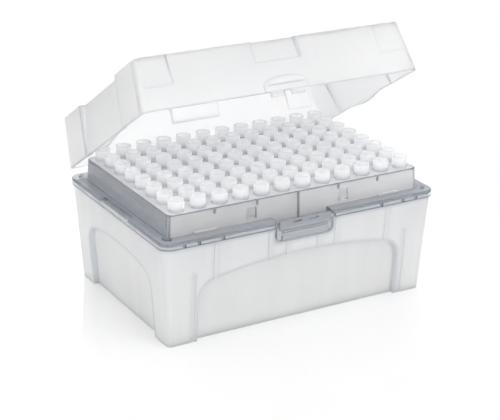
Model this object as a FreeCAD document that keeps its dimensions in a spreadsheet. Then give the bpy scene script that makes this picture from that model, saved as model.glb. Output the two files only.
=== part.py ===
import FreeCAD, Part
import math
import os
import Sketcher

# A hinged rack box that holds ninety-six pipette tips in a 12 by 8 grid.
# X runs along the long side, Y from front to back and Z up.
# The origin is the centre of the base's underside. All sizes are in millimetres.

doc = FreeCAD.newDocument("pipette_tip_box")

# ---------------------------------------------------------------- dimensions

DIMENSIONS = [
    # shared by all the pieces
    ("overlap", 0.3, "how far one shape runs into the next that it joins"),
    ("cut_clear", 1.0, "how far a cut starts outside the shape it cuts"),
    # the grid of tips
    ("grid_pitch", 9.0, "spacing of the tips, both ways"),
    ("grid_columns", 12, "tips along the long side"),
    ("grid_rows", 8, "tips along the short side"),
    ("tip_length", 46.0, "one tip, rim to point"),
    ("tip_collar_radius", 3.0, "outside of the collar that a pipette cone enters"),
    ("tip_collar_height", 4.36, "collar standing above the tray"),
    ("tip_seat_radius", 2.75, "collar's narrowed foot, where it rests in its hole's seat"),
    ("tip_seat_height", 1.3, "height above the tray where the foot starts to narrow"),
    ("tip_shank_radius", 2.5, "outside of the shank just under the collar"),
    ("tip_bore_radius", 2.35, "inside at the rim"),
    ("tip_point_radius", 0.42, "outside at the point"),
    ("tip_point_wall", 0.17, "wall at the point"),
    # the base
    ("foot_length", 113.5, "base at the resting plane, along X"),
    ("foot_depth", 76.7, "base at the resting plane, along Y"),
    ("foot_corner", 1.8, "corner radius at the resting plane"),
    ("floor_corner", 1.2, "corner radius of the floor, inside"),
    ("shoulder_length", 119.2, "base at its shoulder, along X"),
    ("shoulder_depth", 82.56, "base at its shoulder, along Y"),
    ("shoulder_corner", 4.1, "corner radius at the shoulder"),
    ("shoulder_height", 40.0, "height of the shoulder under the rim"),
    ("lip_height", 41.7, "top of the lip that the rim sits on"),
    ("lip_inset", 1.35, "lip set in from the shoulder"),
    ("lip_wall", 0.95, "thickness of the lip"),
    ("base_wall", 1.6, "wall of the base at the floor"),
    ("base_floor", 1.8, "floor of the base"),
    ("front_arch_half", 44.7, "half width of the front and back recess"),
    ("front_arch_top", 28.6, "height of that recess at its middle"),
    ("front_arch_radius", 200.0, "radius of its long top arc"),
    ("front_arch_corner", 8.5, "radius of its upper corners"),
    ("end_arch_half", 27.4, "half width of the end recess"),
    ("end_arch_top", 28.9, "height of that recess at its middle"),
    ("end_arch_radius", 110.0, "radius of its long top arc"),
    ("end_arch_corner", 8.0, "radius of its upper corners"),
    ("arch_depth", 2.1, "depth of the recesses in the walls"),
    ("arch_wall", 1.5, "wall left behind a recess"),
    ("leg_groove_width", 1.5, "shallow groove beside each leg"),
    ("leg_groove_centre", 46.7, "its distance from the middle"),
    ("leg_groove_depth", 0.3, "its depth"),
    ("rib_height", 0.25, "upright ribs under the rim, how far they stand out"),
    ("rib_top_gap", 0.4, "gap between those ribs and the shoulder"),
    ("rib_inner_centre", 6.9, "first pair of upright ribs"),
    ("rib_middle_centre", 14.7, "second pair of upright ribs"),
    ("rib_outer_centre", 37.9, "third pair of upright ribs"),
    ("rib_width", 1.7, "width of an upright rib"),
    # the carrier frame, a ring on top of the base
    ("rim_length", 120.38, "ring, outside, along X"),
    ("rim_depth", 83.66, "ring, outside, along Y"),
    ("rim_corner", 4.4, "ring, outside corner radius"),
    ("rim_top", 43.0, "height of the ledge"),
    ("rim_flange", 1.3, "thickness of the ledge"),
    ("rim_skirt", 0.85, "thickness of the outer skirt"),
    ("rim_skirt_bottom", 40.24, "lower edge of the skirt"),
    ("rim_edge", 0.6, "rounding of the outer top edge"),
    ("well_length", 111.5, "opening in the ring, along X"),
    ("well_depth", 73.8, "opening in the ring, along Y"),
    ("well_corner", 3.0, "corner radius of that opening"),
    ("collar_wall", 1.0, "wall that hangs round the opening"),
    ("collar_bottom", 37.0, "lower edge of that wall"),
    ("slot_half", 12.0, "half length of the slot in each end of the ledge"),
    ("slot_centre", 58.55, "its distance from the middle"),
    ("slot_width", 1.7, "its width"),
    ("skirt_rib", 0.8, "thickness of the ribs behind the skirt"),
    ("skirt_rib_bottom", 40.34, "lower edge of those ribs"),
    ("skirt_rib_gap", 0.12, "gap between those ribs and the lip of the base"),
    ("skirt_rib_first", 35.0, "first pair of ribs behind the skirt"),
    ("skirt_rib_second", 45.0, "second pair"),
    ("skirt_rib_third", 51.0, "third pair"),
    ("nib_centre_x", 55.2, "centre of a corner nib's arc"),
    ("nib_centre_y", 36.2, "centre of a corner nib's arc"),
    ("nib_radius", 2.6, "outer radius of a corner nib"),
    ("nib_wall", 0.8, "thickness of a corner nib"),
    ("nib_height", 0.8, "height of a corner nib above the ledge"),
    # the tray that carries the tips
    ("tray_length", 109.64, "tray at its top, along X"),
    ("tray_depth", 72.1, "tray at its top, along Y"),
    ("tray_corner", 2.6, "radius of its upright corners"),
    ("tray_top", 51.28, "height of the tray's top face"),
    ("tray_foot_length", 110.9, "tray at its lower edge, along X"),
    ("tray_foot_depth", 73.0, "tray at its lower edge, along Y"),
    ("tray_bottom", 39.0, "lower edge of the tray's walls"),
    ("tray_wall", 1.3, "wall of the tray"),
    ("tray_plate", 1.6, "thickness of the top plate"),
    ("tray_edge", 0.5, "rounding of the top edge"),
    ("hole_radius", 2.6, "hole under each tip"),
    ("seat_radius", 3.05, "shallow seat round each hole"),
    ("seat_depth", 0.5, "its depth"),
    ("web_thickness", 0.9, "ribs under the plate"),
    ("web_depth", 2.4, "depth of the short ribs, from the top face"),
    ("window_inner", 18.1, "near edge of a window, from the middle"),
    ("window_width", 4.5, "width of a window"),
    ("window_bottom", 43.9, "lower edge of a window"),
    ("window_height", 4.6, "height of a window"),
    ("window_corner", 0.6, "corner radius of a window"),
    ("lug_inner", 36.0, "near end of a lug that rests on the ledge"),
    ("lug_width", 9.0, "width of a lug"),
    ("lug_reach", 1.3, "how far a lug stands out"),
    ("lug_height", 0.7, "height of a lug"),
    # the release latch in the front of the rim
    ("latch_gap_half", 12.2, "half width of the gap in the rim"),
    ("latch_band_half", 11.2, "half width of the latch's upper band"),
    ("latch_pad_half", 12.4, "half width of its lower pad"),
    ("latch_top", 42.8, "top edge"),
    ("latch_shoulder", 39.9, "height where the band meets the pad"),
    ("latch_bottom", 34.8, "lower edge"),
    ("latch_face", 41.75, "outer face of the band, in front of the middle"),
    ("latch_thickness", 1.1, "thickness of the plate"),
    ("latch_pad_face", 41.3, "outer face of the pad"),
    ("latch_lip", 0.55, "how far the grip lip stands out"),
    ("latch_lip_top", 37.2, "height of the top of the lip"),
    ("latch_corner", 2.2, "radius of the pad's lower corners"),
    ("catch_inner", 1.8, "near edge of a catch window"),
    ("catch_outer", 5.6, "far edge of a catch window"),
    ("catch_bottom", 41.5, "lower edge of a catch window"),
    ("catch_height", 0.75, "height of a catch window"),
    ("pivot_y", 40.4, "latch pivot, in front of the middle"),
    ("pivot_z", 39.3, "height of the latch pivot"),
    ("pivot_radius", 0.45, "peg on each side of the latch"),
    ("pivot_hole", 0.54, "hole for the peg"),
    ("pivot_reach", 13.5, "end of each peg"),
    ("notch_half", 12.9, "half width of the notch in the base"),
    ("notch_bottom", 34.0, "lower edge of the notch"),
    ("notch_face", 39.3, "back of the notch, in front of the middle"),
    ("notch_wall", 1.1, "wall behind the notch"),
    # the lid, measured from its own lower edge
    ("lid_length", 120.2, "lid at its lower edge, along X"),
    ("lid_depth", 80.58, "lid at its lower edge, along Y"),
    ("lid_corner", 3.2, "radius of its upright corners"),
    ("roof_length", 115.4, "lid at its roof, along X"),
    ("roof_depth", 78.94, "lid at its roof, along Y"),
    ("lid_height", 20.4, "height of the lid"),
    ("lid_wall", 1.2, "wall of the lid"),
    ("roof_edge", 0.6, "rounding of the roof's edge"),
    ("lid_seat", 43.2, "height of the lower edge when the lid is shut"),
    ("finger_half", 9.8, "half width of the finger recess, front and back"),
    ("finger_bottom", 12.0, "lower edge of that recess"),
    ("finger_shallow", 1.0, "its depth at its lower edge"),
    ("finger_deep", 2.2, "its depth at the roof"),
    ("grip_half", 20.0, "half width of the grip recess in each end"),
    ("grip_shallow", 0.5, "its depth at the lower edge"),
    ("grip_deep", 3.5, "its depth at the roof"),
    ("corner_step_from", 45.0, "start of the stepped corners"),
    ("corner_step_bottom", 8.7, "height where the step runs out"),
    ("corner_step_shallow", 0.25, "its depth at that height"),
    ("corner_step_deep", 0.7, "its depth at the roof"),
    ("thumb_half", 9.4, "half width of the thumb lip"),
    ("thumb_bottom", 2.5, "height of its underside"),
    ("thumb_top", 5.6, "height of its crest"),
    ("thumb_reach", 1.7, "how far it stands out"),
    ("tab_half", 12.7, "half width of the tab under each end wall, at its root"),
    ("tab_flat", 2.75, "half width of the tab at its lowest"),
    ("tab_drop", 1.45, "how far the tab reaches below the edge"),
    ("tab_bend", 20.0, "radius of its two shallow corners"),
    ("tab_thickness", 0.75, "thickness of the tab"),
    ("hook_inner", 1.6, "near edge of a hook"),
    ("hook_outer", 7.2, "far edge of a hook"),
    ("hook_drop", 1.9, "how far a hook hangs below the edge"),
    ("hook_barb", 0.26, "how far its barb stands forward"),
    ("hook_neck", 0.9, "drop from the edge to the top of the barb"),
    ("hook_nose", 1.4, "drop from the edge to the foot of the barb's face"),
    ("hook_thickness", 0.8, "thickness of a hook"),
    ("gap_bottom", 41.2, "lower edge of the gap in the ring's ledge"),
    ("gap_back", 36.8, "back of that gap, in front of the middle"),
    ("skirt_gap_half", 13.2, "half width of the gap in the skirt"),
    ("web_bottom", 42.8, "lower edge of the middle rib"),
    ("ridge_bottom", 37.6, "lowest of the grip ridges on the latch"),
    ("ridge_pitch", 0.8, "spacing of the grip ridges"),
    ("ridge_reach", 0.25, "how far a ridge stands out"),
    ("ridge_count", 3, "grip ridges"),
    ("apron_reach", 0.35, "how far the wall under the thumb lip stands out"),
    # the hinge at the back
    ("hinge_y", 44.86, "hinge axis, behind the middle"),
    ("hinge_z", 42.53, "height of the hinge axis"),
    ("hinge_centre", 30.0, "middle of each hinge, from the middle"),
    ("hinge_pin", 1.2, "radius of the pin"),
    ("hinge_bore", 1.27, "radius of the eye's bore"),
    ("hinge_eye", 2.4, "outer radius of the eye"),
    ("hinge_snap", 1.9, "slit that lets the eye snap on"),
    ("hinge_width", 8.4, "width of an eye"),
    ("hinge_play", 0.3, "gap beside an eye"),
    ("ear_wall", 1.8, "thickness of an ear"),
    ("ear_radius", 2.2, "radius of an ear"),
    ("arm_bottom", 43.4, "underside of the hinge arm when the lid is shut"),
    ("lid_angle", 32.29, "how far open the lid rests, in degrees"),
]

dims = doc.addObject("Spreadsheet::Sheet", "dims")
for row, (alias, value, note) in enumerate(DIMENSIONS, start=1):
    dims.set("A%d" % row, alias)
    dims.set("B%d" % row, str(value))
    dims.set("C%d" % row, note)
    dims.setAlias("B%d" % row, alias)
doc.recompute()

ALIASES = [alias for alias, value, note in DIMENSIONS]


# ------------------------------------------------------------------- helpers

def sheet_terms(expression):
    """Write each alias in an expression as a reference to the sheet."""
    text = str(expression)
    words = []
    word = ""
    for letter in text + " ":
        if letter.isalnum() or letter == "_":
            word += letter
            continue
        words.append("dims." + word if word in ALIASES else word)
        words.append(letter)
        word = ""
    return "".join(words).strip()


def size(expression):
    """The present value of an expression in the sheet's aliases."""
    return float(dims.evalExpression(sheet_terms(expression)))


def bind(thing, prop, expression):
    """Bind a property to the sheet."""
    thing.setExpression(prop, sheet_terms(expression))


def new_body(label):
    body = doc.addObject("PartDesign::Body", label)
    body.Label = label
    return body


def new_sketch(body, name, plane, offset=None, tilt=None):
    """A sketch on one of the body's origin planes, moved out by offset and
    leaned by tilt about its own first axis."""
    drawing = body.newObject("Sketcher::SketchObject", name)
    origin_plane = [p for p in body.Origin.OriginFeatures if p.Role == plane][0]
    drawing.AttachmentSupport = [(origin_plane, "")]
    drawing.MapMode = "FlatFace"
    if tilt is not None:
        turn = FreeCAD.Rotation(FreeCAD.Vector(1, 0, 0), size(tilt))
        drawing.AttachmentOffset = FreeCAD.Placement(FreeCAD.Vector(0, 0, 0), turn)
        bind(drawing, "AttachmentOffset.Rotation.Angle", tilt)
    if offset is not None:
        bind(drawing, "AttachmentOffset.Base.z", offset)
    return drawing


def constrain(drawing, name, constraint, expression):
    """Add a dimension to a sketch and bind it to the sheet."""
    index = drawing.addConstraint(constraint)
    drawing.renameConstraint(index, name)
    bind(drawing, "Constraints." + name, expression)


def place_point(drawing, name, geometry, point, x, y):
    """Fix one point of a sketch at x, y from the sketch's origin."""
    for axis, kind, expression in (("x", "DistanceX", x), ("y", "DistanceY", y)):
        value = size(expression)
        rule = Sketcher.Constraint(kind, -1, 1, geometry, point, value)
        constrain(drawing, name + axis, rule, expression)


def outline(drawing, corners, tag="p"):
    """Draw a closed outline from corners (x, y) or (x, y, radius)."""
    points = [FreeCAD.Vector(size(c[0]), size(c[1]), 0) for c in corners]
    radii = [size(c[2]) if len(c) > 2 else 0.0 for c in corners]
    count = len(corners)
    ends = []
    for i in range(count):
        back = (points[i - 1] - points[i]).normalize()
        ahead = (points[(i + 1) % count] - points[i]).normalize()
        half_turn = back.getAngle(ahead) / 2
        reach = radii[i] / math.tan(half_turn)
        ends.append((points[i] + back * reach, points[i] + ahead * reach))
    sides = []
    for i in range(count):
        side = Part.LineSegment(ends[i][1], ends[(i + 1) % count][0])
        sides.append(drawing.addGeometry(side, False))
    for i in range(count):
        before = sides[i - 1]
        after = sides[i]
        label = "%s%d" % (tag, i)
        if not radii[i]:
            drawing.addConstraint(Sketcher.Constraint("Coincident", before, 2, after, 1))
            place_point(drawing, label, after, 1, corners[i][0], corners[i][1])
            continue
        middle = (ends[i][0] + ends[i][1]) * 0.5 - points[i]
        to_centre = math.hypot(radii[i], (ends[i][0] - points[i]).Length)
        centre = points[i] + middle.normalize() * to_centre
        bulge = centre + (points[i] - centre).normalize() * radii[i]
        arc = Part.Arc(ends[i][0], bulge, ends[i][1])
        index = drawing.addGeometry(arc, False)
        near = point_nearest(drawing, index, ends[i][0])
        far = 3 - near
        drawing.addConstraint(Sketcher.Constraint("Tangent", before, 2, index, near))
        drawing.addConstraint(Sketcher.Constraint("Tangent", after, 1, index, far))
        rule = Sketcher.Constraint("Radius", index, radii[i])
        constrain(drawing, label + "r", rule, corners[i][2])
        corner = drawing.addGeometry(Part.Point(points[i]), True)
        drawing.addConstraint(Sketcher.Constraint("PointOnObject", corner, 1, before))
        drawing.addConstraint(Sketcher.Constraint("PointOnObject", corner, 1, after))
        place_point(drawing, label, corner, 1, corners[i][0], corners[i][1])


def point_nearest(drawing, geometry, target):
    """Which end of an arc, 1 or 2, lies at the target."""
    first = drawing.getPoint(geometry, 1)
    second = drawing.getPoint(geometry, 2)
    return 1 if first.distanceToPoint(target) < second.distanceToPoint(target) else 2


def rectangle(drawing, left, bottom, right, top, radius=None, tag="p"):
    """A rectangle, with all its corners rounded if a radius is given."""
    corners = [(left, bottom), (right, bottom), (right, top), (left, top)]
    if radius is not None:
        corners = [corner + (radius,) for corner in corners]
    outline(drawing, corners, tag)


def centred(drawing, length, depth, radius):
    """A rounded rectangle about the sketch's origin."""
    half = "(%s) / 2" % length
    side = "(%s) / 2" % depth
    rectangle(drawing, "-" + half, "-" + side, half, side, radius)


def circle(drawing, x, y, radius, tag="c"):
    centre = FreeCAD.Vector(size(x), size(y), 0)
    index = drawing.addGeometry(Part.Circle(centre, FreeCAD.Vector(0, 0, 1), size(radius)), False)
    rule = Sketcher.Constraint("Radius", index, size(radius))
    constrain(drawing, tag + "r", rule, radius)
    place_point(drawing, tag, index, 3, x, y)


def arch(drawing, half, top, radius, corner, bottom, grow):
    """An arched panel: upright sides, rounded upper corners and a long top
    arc, every edge moved out by grow."""
    side = size(half) + size(grow)
    crown = size(top) + size(grow)
    large = size(radius) + size(grow)
    small = size(corner) + size(grow)
    foot = size(bottom)
    centre_z = crown - large
    small_x = side - small
    small_z = centre_z + math.sqrt((large - small) ** 2 - small_x ** 2)
    lean = math.atan2(small_x, small_z - centre_z)
    touch = FreeCAD.Vector(large * math.sin(lean), centre_z + large * math.cos(lean), 0)
    turn = (math.pi / 2 - lean) / 2
    knee = FreeCAD.Vector(small_x + small * math.cos(turn), small_z + small * math.sin(turn), 0)
    v = FreeCAD.Vector
    flip = lambda p: v(-p.x, p.y, 0)
    shapes = [
        Part.LineSegment(v(-side, foot, 0), v(side, foot, 0)),
        Part.LineSegment(v(side, foot, 0), v(side, small_z, 0)),
        Part.Arc(v(side, small_z, 0), knee, touch),
        Part.Arc(touch, v(0, crown, 0), flip(touch)),
        Part.Arc(flip(touch), flip(knee), v(-side, small_z, 0)),
        Part.LineSegment(v(-side, small_z, 0), v(-side, foot, 0)),
    ]
    base, right, right_arc, top_arc, left_arc, left = drawing.addGeometry(shapes, False)
    rule = Sketcher.Constraint
    at = lambda g, x, y: point_nearest(drawing, g, v(x, y, 0))
    drawing.addConstraint(rule("Coincident", base, 2, right, 1))
    drawing.addConstraint(rule("Coincident", left, 2, base, 1))
    drawing.addConstraint(rule("Tangent", right, 2, right_arc, at(right_arc, side, small_z)))
    drawing.addConstraint(rule("Tangent", right_arc, at(right_arc, touch.x, touch.y),
                               top_arc, at(top_arc, touch.x, touch.y)))
    drawing.addConstraint(rule("Tangent", top_arc, at(top_arc, -touch.x, touch.y),
                               left_arc, at(left_arc, -touch.x, touch.y)))
    drawing.addConstraint(rule("Tangent", left, 1, left_arc, at(left_arc, -side, small_z)))
    drawing.addConstraint(rule("Vertical", right))
    drawing.addConstraint(rule("Vertical", left))
    place_point(drawing, "right", right, 1, "%s + %s" % (half, grow), bottom)
    place_point(drawing, "left", base, 1, "-(%s + %s)" % (half, grow), bottom)
    constrain(drawing, "top_r", rule("Radius", top_arc, large), "%s + %s" % (radius, grow))
    constrain(drawing, "right_r", rule("Radius", right_arc, small), "%s + %s" % (corner, grow))
    constrain(drawing, "left_r", rule("Radius", left_arc, small), "%s + %s" % (corner, grow))
    crown_rule = rule("DistanceY", -1, 1, top_arc, 3, centre_z)
    constrain(drawing, "crown", crown_rule, "%s - %s" % (top, radius))


def extrude(body, kind, name, drawing, length, both_sides=False, flip=False):
    """A Pad or a Pocket of one sketch, with a check that it did something."""
    before = body.Shape.Volume if body.Tip else 0.0
    feature = body.newObject("PartDesign::" + kind, name)
    feature.Profile = drawing
    feature.Reversed = flip
    if both_sides:
        feature.SideType = "Symmetric"
    bind(feature, "Length", length)
    drawing.Visibility = False
    doc.recompute()
    change = body.Shape.Volume - before
    wanted = 1 if kind == "Pad" else -1
    if change * wanted <= 0:
        raise RuntimeError("%s changed nothing" % name)
    return feature


def pad(body, name, drawing, length, **options):
    return extrude(body, "Pad", name, drawing, length, **options)


def pocket(body, name, drawing, length, **options):
    return extrude(body, "Pocket", name, drawing, length, **options)


def loft(body, kind, name, lower, upper):
    """A straight-sided loft between two sketches."""
    feature = body.newObject("PartDesign::" + kind, name)
    feature.Profile = lower
    feature.Sections = [upper]
    feature.Ruled = True
    doc.recompute()
    return feature


def leaning_block(body, name, low, high, lengths, depths):
    """A block from low to high whose four flat sides lean in towards the top.
    Lengths and depths are its sizes at low and at high."""
    front = new_sketch(body, name + "_front_view", "XZ_Plane")
    outline(front, [("-%s / 2" % lengths[0], low), ("%s / 2" % lengths[0], low),
                    ("%s / 2" % lengths[1], high), ("-%s / 2" % lengths[1], high)])
    pad(body, name, front, depths[0], both_sides=True)
    side = new_sketch(body, name + "_side_view", "YZ_Plane")
    outside = "-(%s / 2 + cut_clear)" % depths[0]
    outline(side, [("-%s / 2" % depths[0], low), ("-%s / 2" % depths[1], high),
                   (outside, high), (outside, low)])
    lean = pocket(body, name + "_lean", side, lengths[0] + " + 2 * cut_clear", both_sides=True)
    mirrored(body, name + "_lean_back", [lean], "XZ_Plane")


def mirrored(body, name, features, plane):
    """The features again, on the other side of one of the body's planes."""
    feature = body.newObject("PartDesign::Mirrored", name)
    origin_plane = [p for p in body.Origin.OriginFeatures if p.Role == plane][0]
    feature.Originals = features
    feature.MirrorPlane = (origin_plane, [""])
    body.Tip = feature
    doc.recompute()
    return feature


def rounded(body, name, wanted, radius):
    """Round the edges of the body that the test accepts."""
    base = body.Tip
    names = ["Edge%d" % (i + 1) for i, edge in enumerate(base.Shape.Edges) if wanted(edge)]
    if not names:
        raise RuntimeError("%s found no edge" % name)
    feature = body.newObject("PartDesign::Fillet", name)
    feature.Base = (base, names)
    bind(feature, "Radius", radius)
    doc.recompute()
    return feature


def at_level(height):
    """A test for the edges that lie flat at one height."""
    level = size(height)

    def test(edge):
        box = edge.BoundBox
        return max(abs(box.ZMin - level), abs(box.ZMax - level)) < 1e-4

    return test


def is_upright(edge):
    """True for an edge that rises more than it runs."""
    box = edge.BoundBox
    return box.ZLength > max(box.XLength, box.YLength)


# ------------------------------------------------------------------ the base

FRONT_DRAFT = "atan((shoulder_depth - foot_depth) / 2 / shoulder_height)"
END_DRAFT = "atan((shoulder_length - foot_length) / 2 / shoulder_height)"


def base_walls(body):
    """The tapered tub with its lip, open at the top."""
    foot = new_sketch(body, "foot_outline", "XY_Plane")
    centred(foot, "foot_length", "foot_depth", "foot_corner")
    shoulder = new_sketch(body, "shoulder_outline", "XY_Plane", "shoulder_height")
    centred(shoulder, "shoulder_length", "shoulder_depth", "shoulder_corner")
    loft(body, "AdditiveLoft", "outer_walls", foot, shoulder)
    lip = new_sketch(body, "lip_outline", "XY_Plane", "shoulder_height")
    inset = "2 * lip_inset"
    centred(lip, "shoulder_length - " + inset, "shoulder_depth - " + inset,
            "shoulder_corner - lip_inset")
    pad(body, "lip", lip, "lip_height - shoulder_height")
    floor = new_sketch(body, "floor_outline", "XY_Plane", "base_floor")
    thick = "2 * base_wall"
    centred(floor, "foot_length - " + thick, "foot_depth - " + thick, "floor_corner")
    mouth = new_sketch(body, "mouth_outline", "XY_Plane", "lip_height")
    inset = "2 * lip_inset - 2 * lip_wall"
    centred(mouth, "shoulder_length - " + inset, "shoulder_depth - " + inset,
            "shoulder_corner - lip_inset - lip_wall")
    loft(body, "SubtractiveLoft", "cavity", floor, mouth)


def base_ribs(body):
    """Low upright ribs between the rim and the arched recess, front and back."""
    drawing = new_sketch(body, "rib_outlines", "XZ_Plane", "foot_depth / 2", FRONT_DRAFT)
    for tag in ("inner", "middle", "outer"):
        centre = "rib_%s_centre" % tag
        for side in ("", "-"):
            low = "%s%s - rib_width / 2" % (side, centre)
            high = "%s%s + rib_width / 2" % (side, centre)
            key = tag + ("r" if side == "" else "l")
            rectangle(drawing, low, "front_arch_top / 2",
                      high, "shoulder_height - rib_top_gap", tag=key)
    ribs = pad(body, "upright_ribs", drawing, "rib_height")
    mirrored(body, "upright_ribs_back", [ribs], "XZ_Plane")


def base_recesses(body):
    """Arched recesses in all four walls, with the wall carried in behind."""
    cases = (("front", "XZ_Plane", "foot_depth / 2", FRONT_DRAFT, "XZ_Plane"),
             ("end", "YZ_Plane", "foot_length / 2", END_DRAFT, "YZ_Plane"))
    for side, plane, offset, draft, mirror in cases:
        names = ["%s_arch_%s" % (side, word) for word in ("half", "top", "radius", "corner")]
        behind = "%s - arch_depth - arch_wall" % offset
        backing = new_sketch(body, side + "_backing_outline", plane, behind, draft)
        arch(backing, *names, "base_floor / 2", "arch_wall")
        wall = pad(body, side + "_backing", backing, "arch_depth + arch_wall / 2")
        mirrored(body, side + "_backing_far", [wall], mirror)
    for side, plane, offset, draft, mirror in cases:
        names = ["%s_arch_%s" % (side, word) for word in ("half", "top", "radius", "corner")]
        panel = new_sketch(body, side + "_arch_outline", plane, offset + " + cut_clear", draft)
        arch(panel, *names, "-base_floor", "0")
        cut = pocket(body, side + "_recess", panel, "arch_depth + cut_clear")
        mirrored(body, side + "_recess_far", [cut], mirror)


def base_leg_grooves(body):
    """A shallow upright groove beside each leg, front and back."""
    drawing = new_sketch(body, "leg_groove_outlines", "XZ_Plane", "foot_depth / 2", FRONT_DRAFT)
    for key, side in (("r", ""), ("l", "-")):
        low = "%sleg_groove_centre - leg_groove_width / 2" % side
        high = "%sleg_groove_centre + leg_groove_width / 2" % side
        rectangle(drawing, low, "-base_floor", high, "front_arch_top",
                  "leg_groove_width * 0.45", tag=key)
    cut = pocket(body, "leg_grooves", drawing, "leg_groove_depth")
    mirrored(body, "leg_grooves_back", [cut], "XZ_Plane")


def base_latch_notch(body):
    """The notch that the latch's lower pad sits in, and its pivot holes."""
    behind = "notch_face - notch_wall"
    backing = new_sketch(body, "notch_backing_outline", "XZ_Plane", behind)
    rectangle(backing, "-notch_half - notch_wall", "notch_bottom - notch_wall",
              "notch_half + notch_wall", "lip_height")
    pad(body, "notch_backing", backing, "notch_wall + overlap")
    notch = new_sketch(body, "notch_outline", "XZ_Plane", "notch_face")
    outline(notch, [("-notch_half", "notch_bottom", "latch_corner"),
                    ("notch_half", "notch_bottom", "latch_corner"),
                    ("notch_half", "lip_height + cut_clear"),
                    ("-notch_half", "lip_height + cut_clear")])
    pocket(body, "latch_notch", notch, "latch_corner * 2", flip=True)
    hole = new_sketch(body, "pivot_hole_outline", "YZ_Plane")
    circle(hole, "-pivot_y", "pivot_z", "pivot_hole")
    pocket(body, "pivot_holes", hole, "2 * (pivot_reach + overlap)", both_sides=True)


def make_base():
    body = new_body("base_box")
    base_walls(body)
    base_ribs(body)
    base_recesses(body)
    base_leg_grooves(body)
    base_latch_notch(body)
    return body


# --------------------------------------------------------- the carrier frame

def frame_ring(body):
    """The ledge with its outer skirt and the wall that hangs in the base."""
    plate = new_sketch(body, "plate_outline", "XY_Plane", "rim_skirt_bottom")
    centred(plate, "rim_length", "rim_depth", "rim_corner")
    pad(body, "plate", plate, "rim_top - rim_skirt_bottom")
    rounded(body, "outer_edge", at_level("rim_top"), "rim_edge")
    under = new_sketch(body, "underside_outline", "XY_Plane", "rim_skirt_bottom")
    inset = "2 * rim_skirt"
    centred(under, "rim_length - " + inset, "rim_depth - " + inset, "rim_corner - rim_skirt")
    pocket(body, "underside", under, "rim_top - rim_flange - rim_skirt_bottom", flip=True)
    collar = new_sketch(body, "collar_outline", "XY_Plane", "collar_bottom")
    grow = "2 * collar_wall"
    centred(collar, "well_length + " + grow, "well_depth + " + grow, "well_corner + collar_wall")
    pad(body, "collar", collar, "rim_top - rim_flange / 2 - collar_bottom")
    well = new_sketch(body, "well_outline", "XY_Plane", "collar_bottom - cut_clear")
    centred(well, "well_length", "well_depth", "well_corner")
    pocket(body, "well", well, "rim_top - collar_bottom + 2 * cut_clear", flip=True)


def frame_skirt_ribs(body):
    """Short ribs between the skirt and the base's lip, front and back."""
    drawing = new_sketch(body, "skirt_rib_outlines", "XY_Plane", "skirt_rib_bottom")
    front = "-(rim_depth / 2 - rim_skirt / 2)"
    inner = "-(shoulder_depth / 2 - lip_inset + skirt_rib_gap)"
    for tag in ("first", "second", "third"):
        centre = "skirt_rib_" + tag
        for key, side in (("r", ""), ("l", "-")):
            low = "%s%s - skirt_rib / 2" % (side, centre)
            high = "%s%s + skirt_rib / 2" % (side, centre)
            rectangle(drawing, low, front, high, inner, tag=tag + key)
    ribs = pad(body, "skirt_ribs", drawing, "rim_top - rim_flange / 2 - skirt_rib_bottom")
    mirrored(body, "skirt_ribs_back", [ribs], "XZ_Plane")


def frame_slots(body):
    """A long slot in each end of the ledge, for the tab under the lid."""
    drawing = new_sketch(body, "slot_outlines", "XY_Plane", "rim_top + cut_clear")
    for key, side in (("r", ""), ("l", "-")):
        low = "%sslot_centre - slot_width / 2" % side
        high = "%sslot_centre + slot_width / 2" % side
        rectangle(drawing, low, "-slot_half", high, "slot_half", "slot_width * 0.45", tag=key)
    pocket(body, "end_slots", drawing, "rim_flange + 2 * cut_clear")


def frame_corner_nibs(body):
    """A low curved nib inside each corner of the lid."""
    drawing = new_sketch(body, "nib_outlines", "XY_Plane", "rim_top - rim_flange / 2")
    rule = Sketcher.Constraint
    v = FreeCAD.Vector
    outer = size("nib_radius")
    inner = size("nib_radius - nib_wall")
    signs = (("", ""), ("-", ""), ("-", "-"), ("", "-"))
    for quarter, (sign_x, sign_y) in enumerate(signs):
        centre = v(size(sign_x + "nib_centre_x"), size(sign_y + "nib_centre_y"), 0)
        first = quarter * math.pi / 2
        last = first + math.pi / 2
        arcs = [Part.ArcOfCircle(Part.Circle(centre, v(0, 0, 1), r), first, last)
                for r in (outer, inner)]
        ends = [Part.LineSegment(centre + v(math.cos(a), math.sin(a), 0) * inner,
                                 centre + v(math.cos(a), math.sin(a), 0) * outer)
                for a in (first, last)]
        big, small, start, stop = drawing.addGeometry(arcs + ends, False)
        for end, point in ((start, 1), (stop, 2)):
            drawing.addConstraint(rule("Coincident", end, 1, small, point))
            drawing.addConstraint(rule("Coincident", end, 2, big, point))
            drawing.addConstraint(rule("PointOnObject", big, 3, end))
        drawing.addConstraint(rule("Coincident", big, 3, small, 3))
        level = start if quarter % 2 == 0 else stop
        upright = stop if quarter % 2 == 0 else start
        drawing.addConstraint(rule("Horizontal", level))
        drawing.addConstraint(rule("Vertical", upright))
        tag = "nib%d" % quarter
        constrain(drawing, tag + "_outer", rule("Radius", big, outer), "nib_radius")
        constrain(drawing, tag + "_inner", rule("Radius", small, inner), "nib_radius - nib_wall")
        place_point(drawing, tag, big, 3, sign_x + "nib_centre_x", sign_y + "nib_centre_y")
    pad(body, "corner_nibs", drawing, "rim_flange / 2 + nib_height")


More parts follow.
